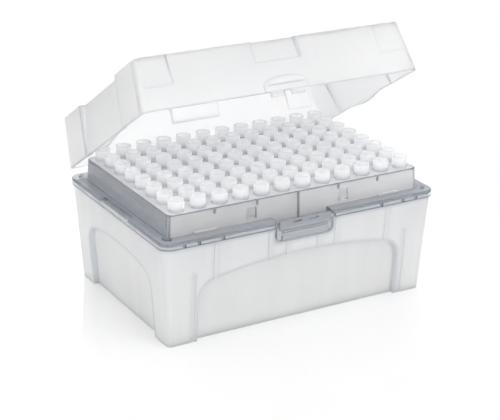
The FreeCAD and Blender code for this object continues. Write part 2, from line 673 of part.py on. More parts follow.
def frame_latch_gap(body):
    """The gap in the ledge and skirt where the latch sits."""
    gap = new_sketch(body, "latch_gap_outline", "XZ_Plane", "rim_depth / 2 + cut_clear")
    rectangle(gap, "-latch_gap_half", "gap_bottom", "latch_gap_half", "rim_top + cut_clear")
    pocket(body, "latch_gap", gap, "rim_depth / 2 + cut_clear - gap_back")
    skirt = new_sketch(body, "skirt_gap_outline", "XZ_Plane", "rim_depth / 2 + cut_clear")
    rectangle(skirt, "-skirt_gap_half", "rim_skirt_bottom - cut_clear", "skirt_gap_half",
              "rim_top - rim_flange")
    pocket(body, "skirt_gap", skirt, "cut_clear + rim_skirt + 2 * overlap")


def frame_hinges(body):
    """Two pairs of ears at the back, each pair with a moulded pin."""
    root = "rim_depth / 2 - rim_skirt / 2"
    eye_half = "(hinge_width / 2 + hinge_play)"
    places = (("inner_ears", "hinge_centre - %s - ear_wall" % eye_half),
              ("outer_ears", "hinge_centre + %s" % eye_half))
    for name, start in places:
        ears = new_sketch(body, name + "_outline", "YZ_Plane", start)
        outline(ears, [(root, "rim_skirt_bottom"),
                       ("hinge_y + ear_radius", "hinge_z - ear_radius", "ear_radius * 0.98"),
                       ("hinge_y + ear_radius", "hinge_z + ear_radius", "ear_radius * 0.98"),
                       ("hinge_y - ear_radius * 0.6", "hinge_z + ear_radius"),
                       (root, "rim_top - rim_edge")])
        right = pad(body, name, ears, "ear_wall")
        mirrored(body, name + "_left", [right], "YZ_Plane")
    pin = new_sketch(body, "pin_outline", "YZ_Plane",
                     "hinge_centre - %s - ear_wall / 2" % eye_half)
    circle(pin, "hinge_y", "hinge_z", "hinge_pin")
    pins = pad(body, "pins", pin, "2 * %s + ear_wall" % eye_half)
    mirrored(body, "pins_left", [pins], "YZ_Plane")


def make_frame():
    body = new_body("carrier_frame")
    frame_ring(body)
    frame_skirt_ribs(body)
    frame_slots(body)
    frame_corner_nibs(body)
    frame_latch_gap(body)
    frame_hinges(body)
    return body


# ------------------------------------------------------------------ the tray

def tray_shell(body):
    """A tapered tray, open underneath, with the plate on top."""
    leaning_block(body, "tray_block", "tray_bottom", "tray_top",
                  ("tray_foot_length", "tray_length"), ("tray_foot_depth", "tray_depth"))
    rounded(body, "tray_corners", is_upright, "tray_corner")
    rounded(body, "tray_top_edge", at_level("tray_top"), "tray_edge")
    inside = new_sketch(body, "tray_inside_foot", "XY_Plane", "tray_bottom")
    thick = "2 * tray_wall"
    centred(inside, "tray_foot_length - " + thick, "tray_foot_depth - " + thick,
            "tray_corner - tray_wall")
    ceiling = new_sketch(body, "tray_inside_top", "XY_Plane", "tray_top - tray_plate")
    centred(ceiling, "tray_length - " + thick, "tray_depth - " + thick,
            "tray_corner - tray_wall")
    loft(body, "SubtractiveLoft", "tray_cavity", inside, ceiling)


def tray_webs(body):
    """Stiffening ribs under the plate, the middle one as deep as the walls."""
    for name, centre, low in (("short_webs", "2 * grid_pitch", "tray_top - web_depth"),
                              ("far_webs", "4 * grid_pitch", "tray_top - web_depth"),
                              ("middle_web", "0", "web_bottom")):
        drawing = new_sketch(body, name + "_outline", "YZ_Plane", centre)
        half = "(tray_depth / 2 - tray_wall / 2)"
        rectangle(drawing, "-" + half, low, half, "tray_top - tray_plate / 2")
        web = pad(body, name, drawing, "web_thickness", both_sides=True)
        if centre != "0":
            mirrored(body, name + "_left", [web], "YZ_Plane")


def tray_windows(body):
    """Two windows through the front wall and two through the back."""
    drawing = new_sketch(body, "window_outlines", "XZ_Plane")
    for key, side in (("r", ""), ("l", "-")):
        near = "%swindow_inner" % side
        far = "%s(window_inner + window_width)" % side
        low, high = (near, far) if key == "r" else (far, near)
        rectangle(drawing, low, "window_bottom", high, "window_bottom + window_height",
                  "window_corner", tag=key)
    pocket(body, "windows", drawing, "2 * tray_foot_depth", both_sides=True)


def tray_lugs(body):
    """Lugs along the front and back that rest on the ledge."""
    drawing = new_sketch(body, "lug_outlines", "XY_Plane", "rim_top")
    for key, side in (("r", ""), ("l", "-")):
        near = "%slug_inner" % side
        far = "%s(lug_inner + lug_width)" % side
        low, high = (near, far) if key == "r" else (far, near)
        rectangle(drawing, low, "-(tray_foot_depth / 2 + lug_reach)", high,
                  "-(tray_foot_depth / 2 - tray_wall / 2)", tag=key)
    lugs = pad(body, "lugs", drawing, "lug_height")
    mirrored(body, "lugs_back", [lugs], "XZ_Plane")


def tray_holes(body):
    """One hole with its shallow seat under the corner tip, repeated over the grid."""
    corner = ("-(grid_columns - 1) / 2 * grid_pitch", "-(grid_rows - 1) / 2 * grid_pitch")
    cuts = []
    for name, radius, depth in (("hole", "hole_radius", "1.5 * tray_plate"),
                                ("seat", "seat_radius", "seat_depth")):
        drawing = new_sketch(body, name + "_outline", "XY_Plane", "tray_top")
        circle(drawing, *corner, radius)
        cuts.append(pocket(body, name, drawing, depth))
    grid = body.newObject("PartDesign::LinearPattern", "hole_grid")
    grid.Originals = cuts
    axes = {axis.Role: axis for axis in body.Origin.OriginFeatures}
    grid.Direction = (axes["X_Axis"], [""])
    grid.Direction2 = (axes["Y_Axis"], [""])
    bind(grid, "Length", "(grid_columns - 1) * grid_pitch")
    bind(grid, "Length2", "(grid_rows - 1) * grid_pitch")
    bind(grid, "Occurrences", "grid_columns")
    bind(grid, "Occurrences2", "grid_rows")
    body.Tip = grid
    doc.recompute()


def make_tray():
    body = new_body("tip_tray")
    tray_shell(body)
    tray_webs(body)
    tray_windows(body)
    tray_lugs(body)
    tray_holes(body)
    return body


# ------------------------------------------------------------------ the tips

def make_tip_column(number):
    """Eight tips in a row from front to back, one column of the grid."""
    body = new_body("tip_column_%02d" % number)
    drawing = new_sketch(body, "tip_profile_%02d" % number, "YZ_Plane")
    front = "-(grid_rows - 1) / 2 * grid_pitch"
    top = "tray_top + tip_collar_height"
    point = top + " - tip_length"
    seat = "tray_top - seat_depth"
    bore_point = "tip_point_radius - tip_point_wall"
    outline(drawing, [(front + " + tip_bore_radius", top),
                      (front + " + " + bore_point, point),
                      (front + " + tip_point_radius", point),
                      (front + " + tip_shank_radius", seat),
                      (front + " + tip_seat_radius", seat),
                      (front + " + tip_collar_radius", "tray_top + tip_seat_height"),
                      (front + " + tip_collar_radius", top)])
    middle = drawing.addGeometry(Part.LineSegment(FreeCAD.Vector(size(front), size(point), 0),
                                                  FreeCAD.Vector(size(front), size(top), 0)), True)
    place_point(drawing, "axis_foot", middle, 1, front, point)
    place_point(drawing, "axis_head", middle, 2, front, top)
    tip = body.newObject("PartDesign::Revolution", "tip_%02d" % number)
    tip.Profile = drawing
    tip.ReferenceAxis = (drawing, ["Axis0"])
    tip.Angle = 360.0
    drawing.Visibility = False
    row = body.newObject("PartDesign::LinearPattern", "tip_row_%02d" % number)
    row.Originals = [tip]
    along = [axis for axis in body.Origin.OriginFeatures if axis.Role == "Y_Axis"][0]
    row.Direction = (along, [""])
    bind(row, "Length", "(grid_rows - 1) * grid_pitch")
    bind(row, "Occurrences", "grid_rows")
    body.Tip = row
    bind(body, "Placement.Base.x", "(%d - (grid_columns + 1) / 2) * grid_pitch" % number)
    return body


# ----------------------------------------------------------------- the latch

def make_latch():
    """A T-shaped rocker: an upper band with two catch windows and a wider
    pad with a grip lip, turning on two small pegs."""
    body = new_body("release_latch")
    inner = "latch_pad_face - latch_thickness"
    lower = new_sketch(body, "pad_outline", "XZ_Plane", inner)
    outline(lower, [("-latch_pad_half", "latch_bottom", "latch_corner"),
                    ("latch_pad_half", "latch_bottom", "latch_corner"),
                    ("latch_pad_half", "latch_shoulder"),
                    ("-latch_pad_half", "latch_shoulder")])
    pad(body, "pad", lower, "latch_thickness")
    upper = new_sketch(body, "band_outline", "XZ_Plane", "latch_face - latch_thickness")
    rectangle(upper, "-latch_band_half", "latch_shoulder - 2 * overlap",
              "latch_band_half", "latch_top")
    pad(body, "band", upper, "latch_thickness")
    lip = new_sketch(body, "grip_lip_outline", "YZ_Plane")
    face = "-latch_pad_face"
    outline(lip, [(face + " + latch_thickness / 2", "latch_lip_top"),
                  (face, "latch_lip_top"),
                  (face + " - latch_lip", "latch_lip_top - latch_lip"),
                  (face + " - latch_lip", "latch_bottom + latch_lip"),
                  (face, "latch_bottom + overlap / 3"),
                  (face + " + latch_thickness / 2", "latch_bottom + overlap / 3")])
    pad(body, "grip_lip", lip, "2 * (latch_pad_half - latch_corner)", both_sides=True)
    ridge = new_sketch(body, "ridge_outline", "YZ_Plane")
    outline(ridge, [(face + " + overlap", "ridge_bottom"),
                    (face, "ridge_bottom"),
                    (face + " - ridge_reach", "ridge_bottom + ridge_pitch * 0.2"),
                    (face + " - ridge_reach", "ridge_bottom + ridge_pitch * 0.4"),
                    (face, "ridge_bottom + ridge_pitch * 0.6"),
                    (face + " + overlap", "ridge_bottom + ridge_pitch * 0.6")])
    first = pad(body, "ridge", ridge, "2 * (latch_pad_half - latch_corner)", both_sides=True)
    ridges = body.newObject("PartDesign::LinearPattern", "ridges")
    ridges.Originals = [first]
    upward = [axis for axis in body.Origin.OriginFeatures if axis.Role == "Z_Axis"][0]
    ridges.Direction = (upward, [""])
    bind(ridges, "Length", "(ridge_count - 1) * ridge_pitch")
    bind(ridges, "Occurrences", "ridge_count")
    body.Tip = ridges
    windows = new_sketch(body, "catch_window_outlines", "XZ_Plane", "latch_face + cut_clear")
    for key, low, high in (("r", "catch_inner", "catch_outer"),
                           ("l", "-catch_outer", "-catch_inner")):
        rectangle(windows, low, "catch_bottom", high, "catch_bottom + catch_height", tag=key)
    pocket(body, "catch_windows", windows, "latch_thickness + 2 * cut_clear")
    pegs = new_sketch(body, "peg_outline", "YZ_Plane")
    circle(pegs, "-pivot_y", "pivot_z", "pivot_radius")
    pad(body, "pegs", pegs, "2 * pivot_reach", both_sides=True)
    return body


# ------------------------------------------------------------------- the lid

def lid_shell(body):
    """The tapered cover, open underneath, and the thumb lip on its front."""
    leaning_block(body, "cover", "0", "lid_height",
                  ("lid_length", "roof_length"), ("lid_depth", "roof_depth"))
    rounded(body, "lid_corners", is_upright, "lid_corner")
    rounded(body, "roof_rounding", at_level("lid_height"), "roof_edge")
    thumb = body.newObject("PartDesign::AdditiveEllipsoid", "thumb_lip")
    bind(thumb, "Radius1", "thumb_top - thumb_bottom")
    bind(thumb, "Radius2", "thumb_half")
    bind(thumb, "Radius3", "thumb_reach")
    thumb.Angle1 = 0
    thumb.Angle2 = 90
    bind(thumb, "Placement.Base.y", "-(lid_depth / 2 - overlap / 3)")
    bind(thumb, "Placement.Base.z", "thumb_bottom")
    doc.recompute()
    apron = new_sketch(body, "apron_outline", "XZ_Plane", "lid_depth / 2 - lid_wall / 2")
    rectangle(apron, "-thumb_half", "0", "thumb_half", "thumb_bottom + overlap / 3")
    pad(body, "apron", apron, "lid_wall / 2 + apron_reach")
    inside = new_sketch(body, "lid_inside_edge", "XY_Plane")
    thick = "2 * lid_wall"
    centred(inside, "lid_length - " + thick, "lid_depth - " + thick, "lid_corner - lid_wall")
    ceiling = new_sketch(body, "lid_inside_roof", "XY_Plane", "lid_height - lid_wall")
    centred(ceiling, "roof_length - " + thick, "roof_depth - " + thick, "lid_corner - lid_wall")
    loft(body, "SubtractiveLoft", "lid_cavity", inside, ceiling)


def lid_recess(body, name, planes, wall, half, low, ledge, depths):
    """A recess whose floor leans in towards the roof, with the wall carried
    in behind it, on both sides of the lid. Low and ledge are the height of
    its lower edge and the wall kept below that edge."""
    across, mirror = planes
    foot, roof = wall
    shallow, deep = depths
    leans = "(%s - %s) / 2 / lid_height" % (foot, roof)
    at_low = "%s / 2 - %s * %s" % (foot, leans, low)
    at_roof = "%s / 2" % roof
    skin = "lid_wall / 4"
    backing = new_sketch(body, name + "_backing_outline", across)
    outline(backing, [("-(%s - %s)" % (at_low, skin), "%s - %s" % (low, ledge)),
                      ("-(%s - %s)" % (at_roof, skin), "lid_height - " + skin),
                      ("-(%s - %s - lid_wall)" % (at_roof, deep), "lid_height - " + skin),
                      ("-(%s - %s - lid_wall)" % (at_low, shallow), "%s - %s" % (low, ledge))])
    wall_behind = pad(body, name + "_backing", backing, "2 * (%s + lid_wall)" % half,
                      both_sides=True)
    mirrored(body, name + "_backing_far", [wall_behind], mirror)
    gain = "(%s + %s - %s) / (lid_height - %s)" % (deep, leans + " * (lid_height - %s)" % low,
                                                   shallow, low)
    cutter = new_sketch(body, name + "_outline", across)
    outline(cutter, [("-(%s + 2 * cut_clear)" % at_low, low),
                     ("-(%s + 2 * cut_clear)" % at_roof, "lid_height + cut_clear"),
                     ("-(%s - %s - %s * cut_clear)" % (at_roof, deep, gain),
                      "lid_height + cut_clear"),
                     ("-(%s - %s)" % (at_low, shallow), low)])
    cut = pocket(body, name, cutter, "2 * " + half, both_sides=True)
    mirrored(body, name + "_far", [cut], mirror)


def lid_corner_steps(body):
    """Front and back walls step in beside each corner, most at the roof."""
    leans = "(lid_depth - roof_depth) / 2 / lid_height"
    low = "(lid_depth / 2 - %s * corner_step_bottom)" % leans
    low_floor = "(%s - corner_step_shallow)" % low
    high_floor = "(roof_depth / 2 - corner_step_deep)"
    slope = "((%s - %s) / (lid_height - corner_step_bottom))" % (low_floor, high_floor)
    skin = "lid_wall / 3"
    length = "roof_length / 2 - lid_wall / 2 - corner_step_from"
    backings = []
    cuts = []
    for key, side in (("right", ""), ("left", "-")):
        backing = new_sketch(body, "step_backing_outline_" + key, "YZ_Plane",
                             "%scorner_step_from" % side)
        outline(backing, [("-(%s - %s)" % (low, skin), "corner_step_bottom"),
                          ("-(%s - %s)" % (high_floor, skin), "lid_height - " + skin),
                          ("-(%s - lid_wall)" % high_floor, "lid_height - " + skin),
                          ("-(%s - lid_wall)" % low_floor, "corner_step_bottom")])
        backings.append(pad(body, "step_backing_" + key, backing, length, flip=key == "left"))
    mirrored(body, "step_backing_back", backings, "XZ_Plane")
    for key, side in (("right", ""), ("left", "-")):
        cutter = new_sketch(body, "step_outline_" + key, "YZ_Plane",
                            "%scorner_step_from" % side)
        outline(cutter, [("-" + low_floor, "corner_step_bottom"),
                         ("-(%s + 2 * cut_clear)" % low, "corner_step_bottom"),
                         ("-(%s + 2 * cut_clear)" % low, "lid_height + cut_clear"),
                         ("-(%s - %s * cut_clear)" % (high_floor, slope),
                          "lid_height + cut_clear")])
        cuts.append(pocket(body, "corner_step_" + key, cutter,
                           "lid_length / 2 - corner_step_from + cut_clear", flip=key == "right"))
    mirrored(body, "corner_step_back", cuts, "XZ_Plane")


def lid_tabs(body):
    """A shallow V under each end wall that enters a slot in the ring."""
    tab = new_sketch(body, "tab_outline", "YZ_Plane", "lid_length / 2 - grip_shallow - lid_wall")
    root = "(tab_half + overlap * (tab_half - tab_flat) / tab_drop)"
    outline(tab, [("-" + root, "overlap"),
                  ("-tab_flat", "-tab_drop", "tab_bend"),
                  ("tab_flat", "-tab_drop", "tab_bend"),
                  (root, "overlap")])
    right = pad(body, "tab", tab, "tab_thickness")
    mirrored(body, "tab_left", [right], "YZ_Plane")


def lid_hooks(body):
    """Two hooks under the front edge, in line with the latch's windows."""
    hook = new_sketch(body, "hook_outline", "YZ_Plane", "hook_inner")
    face = "-lid_depth / 2"
    outline(hook, [(face, "overlap"),
                   (face, "-hook_neck"),
                   (face + " - hook_barb", "-(hook_neck + hook_barb / 2)"),
                   (face + " - hook_barb", "-hook_nose"),
                   (face + " + hook_barb / 2", "-hook_drop"),
                   (face + " + hook_thickness", "-hook_drop"),
                   (face + " + hook_thickness", "overlap")])
    right = pad(body, "hook", hook, "hook_outer - hook_inner")
    mirrored(body, "hook_left", [right], "YZ_Plane")


def lid_hinge_eyes(body):
    """Two arms at the back, each ending in an eye that snaps on a pin."""
    inner_end = "hinge_centre - hinge_width / 2"
    centre = "hinge_z - lid_seat"
    low = "arm_bottom - lid_seat"
    top = "(%s + hinge_eye)" % centre
    root = "lid_depth / 2 - lid_wall / 2"
    arm = new_sketch(body, "arm_outline", "YZ_Plane", inner_end)
    outline(arm, [(root, low),
                  ("hinge_y", low),
                  ("hinge_y", top),
                  ("hinge_y - hinge_eye", top),
                  (root, top + " + lid_wall")])
    arms = [pad(body, "arm", arm, "hinge_width")]
    eye = new_sketch(body, "eye_outline", "YZ_Plane", inner_end)
    circle(eye, "hinge_y", centre, "hinge_eye")
    arms.append(pad(body, "eye", eye, "hinge_width"))
    mirrored(body, "arms_left", arms, "YZ_Plane")
    bore = new_sketch(body, "eye_bore_outline", "YZ_Plane")
    circle(bore, "hinge_y", centre, "hinge_bore")
    pocket(body, "eye_bores", bore, "lid_length", both_sides=True)
    slit = new_sketch(body, "eye_slit_outline", "YZ_Plane")
    rectangle(slit, "hinge_y - hinge_snap / 2", centre + " - 2 * hinge_eye",
              "hinge_y + hinge_snap / 2", centre)
    pocket(body, "eye_slits", slit, "lid_length", both_sides=True)


def open_lid(body):
    """Turn the lid about the hinge pins to where it rests open."""
    body.Placement = FreeCAD.Placement(FreeCAD.Vector(0, 0, 0),
                                       FreeCAD.Rotation(FreeCAD.Vector(-1, 0, 0), 1))
    bind(body, "Placement.Rotation.Angle", "lid_angle")
    bind(body, "Placement.Base.y",
         "hinge_y * (1 - cos(lid_angle)) + (lid_seat - hinge_z) * sin(lid_angle)")
    bind(body, "Placement.Base.z",
         "hinge_z + hinge_y * sin(lid_angle) + (lid_seat - hinge_z) * cos(lid_angle)")


def make_lid():
    body = new_body("lid")
    lid_shell(body)
    lid_recess(body, "finger_recess", ("YZ_Plane", "XZ_Plane"), ("lid_depth", "roof_depth"),
               "finger_half", "finger_bottom", "lid_wall * 0.8",
               ("finger_shallow", "finger_deep"))
    lid_recess(body, "end_grip", ("XZ_Plane", "YZ_Plane"), ("lid_length", "roof_length"),
               "grip_half", "0", "0", ("grip_shallow", "grip_deep"))
    lid_corner_steps(body)
    lid_tabs(body)
    lid_hooks(body)
    lid_hinge_eyes(body)
    open_lid(body)
    return body


make_base()
make_frame()
make_tray()
for column in range(1, int(size("grid_columns")) + 1):
    make_tip_column(column)
make_latch()
make_lid()
doc.recompute()

bodies = [thing for thing in doc.Objects if thing.TypeId == "PartDesign::Body"]
for thing in doc.Objects:
    bad = [state for state in thing.State if state in ("Invalid", "Error")]
    if bad:
        raise RuntimeError("%s is %s" % (thing.Name, bad))
for body in bodies:
    if body.Shape.isNull() or not body.Shape.isValid():
        raise RuntimeError("%s has no valid shape" % body.Label)
os.makedirs("parts", exist_ok=True)
for body in bodies:
    body.Shape.exportStep("parts/%s.step" % body.Label)
    print(body.Label, round(body.Shape.Volume, 1), len(body.Shape.Solids), len(body.Shape.Faces))
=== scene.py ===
"""A hinged box of pipette tips, dressed for a studio picture.

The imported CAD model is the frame. This add-on gives every piece of it a finish,
makes the ninety-six tips again with Geometry Nodes, and sets the stage. All
sizes are in metres.
"""
import math

import bmesh
import bpy
from mathutils import Matrix, Vector


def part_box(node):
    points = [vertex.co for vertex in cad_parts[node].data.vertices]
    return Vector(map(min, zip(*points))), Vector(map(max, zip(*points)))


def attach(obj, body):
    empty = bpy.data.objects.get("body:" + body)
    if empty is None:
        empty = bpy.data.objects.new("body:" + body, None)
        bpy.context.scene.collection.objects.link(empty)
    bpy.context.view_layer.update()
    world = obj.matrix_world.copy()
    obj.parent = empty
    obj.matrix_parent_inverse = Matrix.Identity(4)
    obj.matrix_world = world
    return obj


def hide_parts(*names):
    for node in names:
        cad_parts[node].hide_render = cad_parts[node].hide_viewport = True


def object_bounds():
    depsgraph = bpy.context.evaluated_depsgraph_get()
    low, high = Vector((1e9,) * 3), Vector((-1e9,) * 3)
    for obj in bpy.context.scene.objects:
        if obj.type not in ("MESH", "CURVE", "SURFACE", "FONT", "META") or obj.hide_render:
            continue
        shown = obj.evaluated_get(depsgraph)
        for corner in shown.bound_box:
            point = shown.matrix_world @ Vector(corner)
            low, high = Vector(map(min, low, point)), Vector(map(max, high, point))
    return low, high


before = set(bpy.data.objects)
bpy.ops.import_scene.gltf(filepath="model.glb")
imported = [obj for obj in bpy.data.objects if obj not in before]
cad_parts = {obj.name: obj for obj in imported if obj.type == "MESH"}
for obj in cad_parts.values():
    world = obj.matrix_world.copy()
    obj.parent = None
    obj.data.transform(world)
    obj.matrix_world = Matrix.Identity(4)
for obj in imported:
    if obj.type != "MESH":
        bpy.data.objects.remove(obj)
CAD_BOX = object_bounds()
RACK = "rack"
TIP_NODES = sorted(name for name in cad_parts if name.startswith("tip_column"))

# The spacing of the tips, which is the same on all racks and plates of this kind.
PITCH = 0.009

# Where the finishes and their painted light and shade change on the pieces. Heights are
# from the table, and other places are measured from the middle of the box.
TRAY_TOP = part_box("tip_tray")[1][2]
TRAY_END_WALLS = 0.0536
# Where lines of painted shade mark the tray's ribs.
TRAY_RIB_HALF_WIDTH = 0.0005
SHORT_RIBS_FOOT = TRAY_TOP - 0.0024
SHORT_RIBS_REACH = 0.0405
MIDDLE_LINE_FOOT = 0.0405
MIDDLE_LINE_REACH = 0.0095
# Where lines of painted shade mark the ribs behind the ring's skirt.
SKIRT_RIBS = (0.035, 0.045, 0.051)
SKIRT_RIB_HALF_WIDTH = 0.0003
SKIRT_RIBS_TOP = 0.0417
LATCH_SHOULDER = 0.04
# Heights between which painted shade darkens the tub towards its rim.
TUB_SHADE_FROM = 0.012
TUB_SHADE_TO = 0.055
# Height from which painted shade darkens the tray's ends upwards.
TRAY_END_SHADE_FROM = 0.043
# Sideways places between which painted light brightens the tray's long walls to the right.
TRAY_LIGHT_FROM = -0.03
TRAY_LIGHT_TO = 0.055
# Heights between which a painted shadow lies on each tip's foot.
TIP_FOOT_LOW = TRAY_TOP - 0.00045
TIP_FOOT_HIGH = TRAY_TOP + 0.001
TIP_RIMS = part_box(TIP_NODES[0])[1][2]
# From here up a tip's rim gets painted shade.
TIP_RIM_LOW = TIP_RIMS - 0.00025

# The floor keeps the box's shadow up to one distance, and is plain white from another.
FLOOR_HALF_WIDTH = 6.0
SHADOW_KEPT_TO = 0.06
FLOOR_WHITE_FROM = 0.16
LAMPS_AIM = (0.0, 0.0, 0.05)

bl_info = {
    "name": "Pipette Tip Box",
    "version": (1, 0, 0),
    "blender": (4, 5, 0),
    "location": "3D View > Sidebar > Tip Box",
    "description": "Finishes, tips and stage for a hinged box of pipette tips",
    "category": "Object",
}


# ------------------------------------------------------------------ settings

def length(name, description, default):
    """A length in metres for a property group."""
    return bpy.props.FloatProperty(name=name, description=description, default=default,
                                   subtype="DISTANCE", unit="LENGTH", precision=5)


def angle(name, description, degrees):
    """An angle for a property group."""
    return bpy.props.FloatProperty(name=name, description=description,
                                   default=math.radians(degrees), subtype="ANGLE")


def colour(name, description, default):
    """A colour for a property group."""
    return bpy.props.FloatVectorProperty(name=name, description=description, size=3,
                                         subtype="COLOR", default=default, min=0, max=1)


def share(name, description, default):
    """A share from nought to one for a property group."""
    return bpy.props.FloatProperty(name=name, description=description, default=default,
                                   min=0, max=1, subtype="FACTOR")


def watts(name, description, default):
    """The power of a lamp for a property group."""
    return bpy.props.FloatProperty(name=name, description=description, default=default,
                                   min=0, subtype="POWER")


class TipBoxFinishes(bpy.types.PropertyGroup):
    """Colours and clarity of the plastics, and the painted light and shade laid on them."""

    tub_colour: colour("Tub", "Milky plastic of the tub", (0.984, 0.989, 0.995))
    # Painted shade along the tub's edges.
    tub_edge_shade: colour("Tub edges", "Edges of the tub", (0.74, 0.768, 0.80))
    tub_clarity: share("Tub clarity", "How much light the tub's wall bends through", 0.45)
    tub_veil: share("Tub veil", "How much the tub's wall hides", 0.9)
    lid_colour: colour("Lid", "Milky plastic of the lid", (0.988, 0.991, 0.994))
    # Painted shade along the lid's edges.
    lid_edge_shade: colour("Lid edges", "Edges of the lid", (0.78, 0.805, 0.84))
    lid_clarity: share("Lid clarity", "How much light the lid's wall bends through", 0.7)
    ring_colour: colour("Ring", "Upright faces of the ring", (0.93, 0.94, 0.955))
    # Painted shade along the ring's edges and in lines where its ribs stand.
    ring_edge_and_rib_shade: colour("Ring edges", "Edges of the ring, and its ribs", (0.17, 0.19, 0.235))
    ring_clarity: share("Ring clarity", "How clear the ring's upright faces are", 0.95)
    latch_colour: colour("Latch", "Faces of the latch", (0.93, 0.94, 0.95))
    # Painted shade along the latch's edges.
    latch_edge_shade: colour("Latch edges", "Edges of the latch", (0.5, 0.53, 0.57))
    latch_clarity: share("Latch clarity", "How clear the latch's faces are", 0.9)
    # Painted shade on the level ledges of the ring and the latch.
    ledge_shade: colour("Ledges", "Ledges of the ring and the latch", (0.455, 0.475, 0.52))
    ledge_clarity: share("Ledge clarity", "How clear those ledges are", 0.45)
    tray_colour: colour("Tray", "Long walls of the tray", (0.83, 0.83, 0.835))
    # Painted shade on the end walls of the tray.
    tray_end_shade: colour("Tray ends", "End walls of the tray", (0.52, 0.55, 0.60))
    # Painted light on the top plate of the tray.
    tray_top_light: colour("Tray top", "Top plate of the tray", (0.91, 0.91, 0.92))
    # Painted light on the inner faces of the tray.
    tray_inside_light: colour("Tray inside", "Inner faces of the tray", (0.97, 0.97, 0.97))
    # Painted shade along the rim, corners and ribs of the tray.
    tray_edge_shade: colour("Tray edges", "Rim, corners and ribs of the tray", (0.25, 0.28, 0.33))
    tray_clarity: share("Tray clarity", "How clear the tray's walls are", 0.68)
    tray_top_clarity: share("Tray top clarity", "How clear the tray's top is", 0.55)
    smoke_depth: colour("Smoke depth", "Colour deep in the smoky plastic", (0.62, 0.65, 0.69))
    tip_colour: colour("Tips", "Natural plastic of the tips", (0.996, 0.997, 0.998))
    # Painted shadow on the tips where they stand in the tray.
    tip_foot_shadow: colour("Tip feet", "Tips where they stand in the tray", (0.78, 0.80, 0.83))
    # Painted shade on the top rims of the tips.
    tip_rim_shade: colour("Tip rims", "Top rims of the tips", (0.90, 0.91, 0.925))
    # Painted shade along the tips' sharp edges.
    tip_edge_shade: colour("Tip edges", "Sharp edges of the tips", (0.62, 0.65, 0.69))
    tip_glow: share("Tip glow", "How much light a tip's wall lets through", 0.8)
    tip_veil: share("Tip veil", "How much a tip's wall hides", 0.82)


class TipBoxTips(bpy.types.PropertyGroup):
    """Sizes of one tip and of the column it stands in."""

    pitch: length("Pitch", "Spacing of the tips", PITCH)
    rows: bpy.props.IntProperty(name="Rows", description="Tips in one column", default=8, min=1)
    collar_radius: length("Collar radius", "Outside of the collar", 0.003)
    neck_radius: length("Neck radius", "Outside where the tip enters the tray", 0.0025)
    collar_height: length("Collar height", "Collar above the tray", 0.00436)
    seat_radius: length("Seat radius", "Outside where the tip rests in the tray", 0.00263)
    seat_depth: length("Seat depth", "Seat below the top of the tray", 0.0005)
    tip_length: length("Length", "One tip, rim to point", 0.046)
    point_radius: length("Point radius", "Outside at the point", 0.00042)
    wall: length("Wall", "Wall at the rim", 0.0006)
    lip: length("Lip", "Rounding of the rim", 0.00012)
    segments: bpy.props.IntProperty(name="Segments", description="Sides of one tip",
                                    default=32, min=8)


class TipBoxStage(bpy.types.PropertyGroup):
    """Camera and light."""

    azimuth: angle("Azimuth", "Camera's turn about the box", -30.181)
    elevation: angle("Elevation", "Camera's height as an angle", 21.536)
    roll: angle("Roll", "Camera's lean", 0.594)
    distance: length("Distance", "From the camera to the box, along the view", 0.594245)
    aim_side: length("Aim, sideways", "Middle of the rims from the picture's centre", 0.000277)
    aim_up: length("Aim, up", "Middle of the rims from the picture's centre", 0.022892)
    lens: bpy.props.FloatProperty(name="Lens", description="Focal length in millimetres",
                                  default=108.39, subtype="DISTANCE_CAMERA")
    dome: bpy.props.FloatProperty(name="Dome", description="Strength of the even light",
                                  default=0.95, min=0)
    key: watts("Key", "Large lamp in front", 1.8)
    fill: watts("Fill", "Low lamp at the left", 0.5)
    top: watts("Top", "Lamp overhead", 1.9)
    back: watts("Back", "Lamp behind", 2.2)


# ------------------------------------------------------------ node shorthand

class Tree:
    """A node tree with short ways to add and join its nodes."""

    def __init__(self, tree):
        self.tree = tree

    def add(self, kind, inputs=None, **settings):
        """A new node with its settings, and its inputs joined or set."""
        node = self.tree.nodes.new(kind)
        for key, value in settings.items():
            setattr(node, key, value)
        for key, given in (inputs or {}).items():
            self.feed(node.inputs[key], given)
        return node

    def feed(self, socket, given):
        """Join an output to the socket, or set its value. A colour gets its alpha here."""
        if isinstance(given, bpy.types.NodeSocket):
            self.tree.links.new(given, socket)
        elif socket.type == "RGBA":
            socket.default_value = (*given, 1.0)
        else:
            socket.default_value = given


def new_material(name):
    """An empty node material and its tree."""
    material = bpy.data.materials.new(name)
    material.use_nodes = True
    material.node_tree.nodes.clear()
    return material, Tree(material.node_tree)


def ramp(tree, value, start, end, low=0.0, high=1.0, kind="LINEAR"):
    """The value mapped so that start becomes low and end becomes high."""
    return tree.add("ShaderNodeMapRange", interpolation_type=kind, inputs={
        "Value": value, "From Min": start, "From Max": end,
        "To Min": low, "To Max": high}).outputs["Result"]


def above(tree, value, level, blur=0.0001):
    """One where the value is more than a level, with a soft border."""
    return ramp(tree, value, level - blur, level + blur)


def below(tree, value, level, blur=0.0001):
    """One where the value is less than a level, with a soft border."""
    return ramp(tree, value, level + blur, level - blur)


def math_node(tree, operation, first, second=0.0):
    """One step of arithmetic with two values."""
    return tree.add("ShaderNodeMath", operation=operation,
                    inputs={0: first, 1: second}).outputs["Value"]


def both(tree, first, second):
    """The share that two masks have in common."""
    return math_node(tree, "MULTIPLY", first, second)


def either(tree, first, second):
    """The larger of two masks."""
    return math_node(tree, "MAXIMUM", first, second)


def unsigned(tree, value):
    """The value without its sign."""
    return math_node(tree, "ABSOLUTE", value)


def dot_product(tree, first, second):
    """How far two directions agree."""
    return tree.add("ShaderNodeVectorMath", operation="DOT_PRODUCT",
                    inputs={0: first, 1: second}).outputs["Value"]


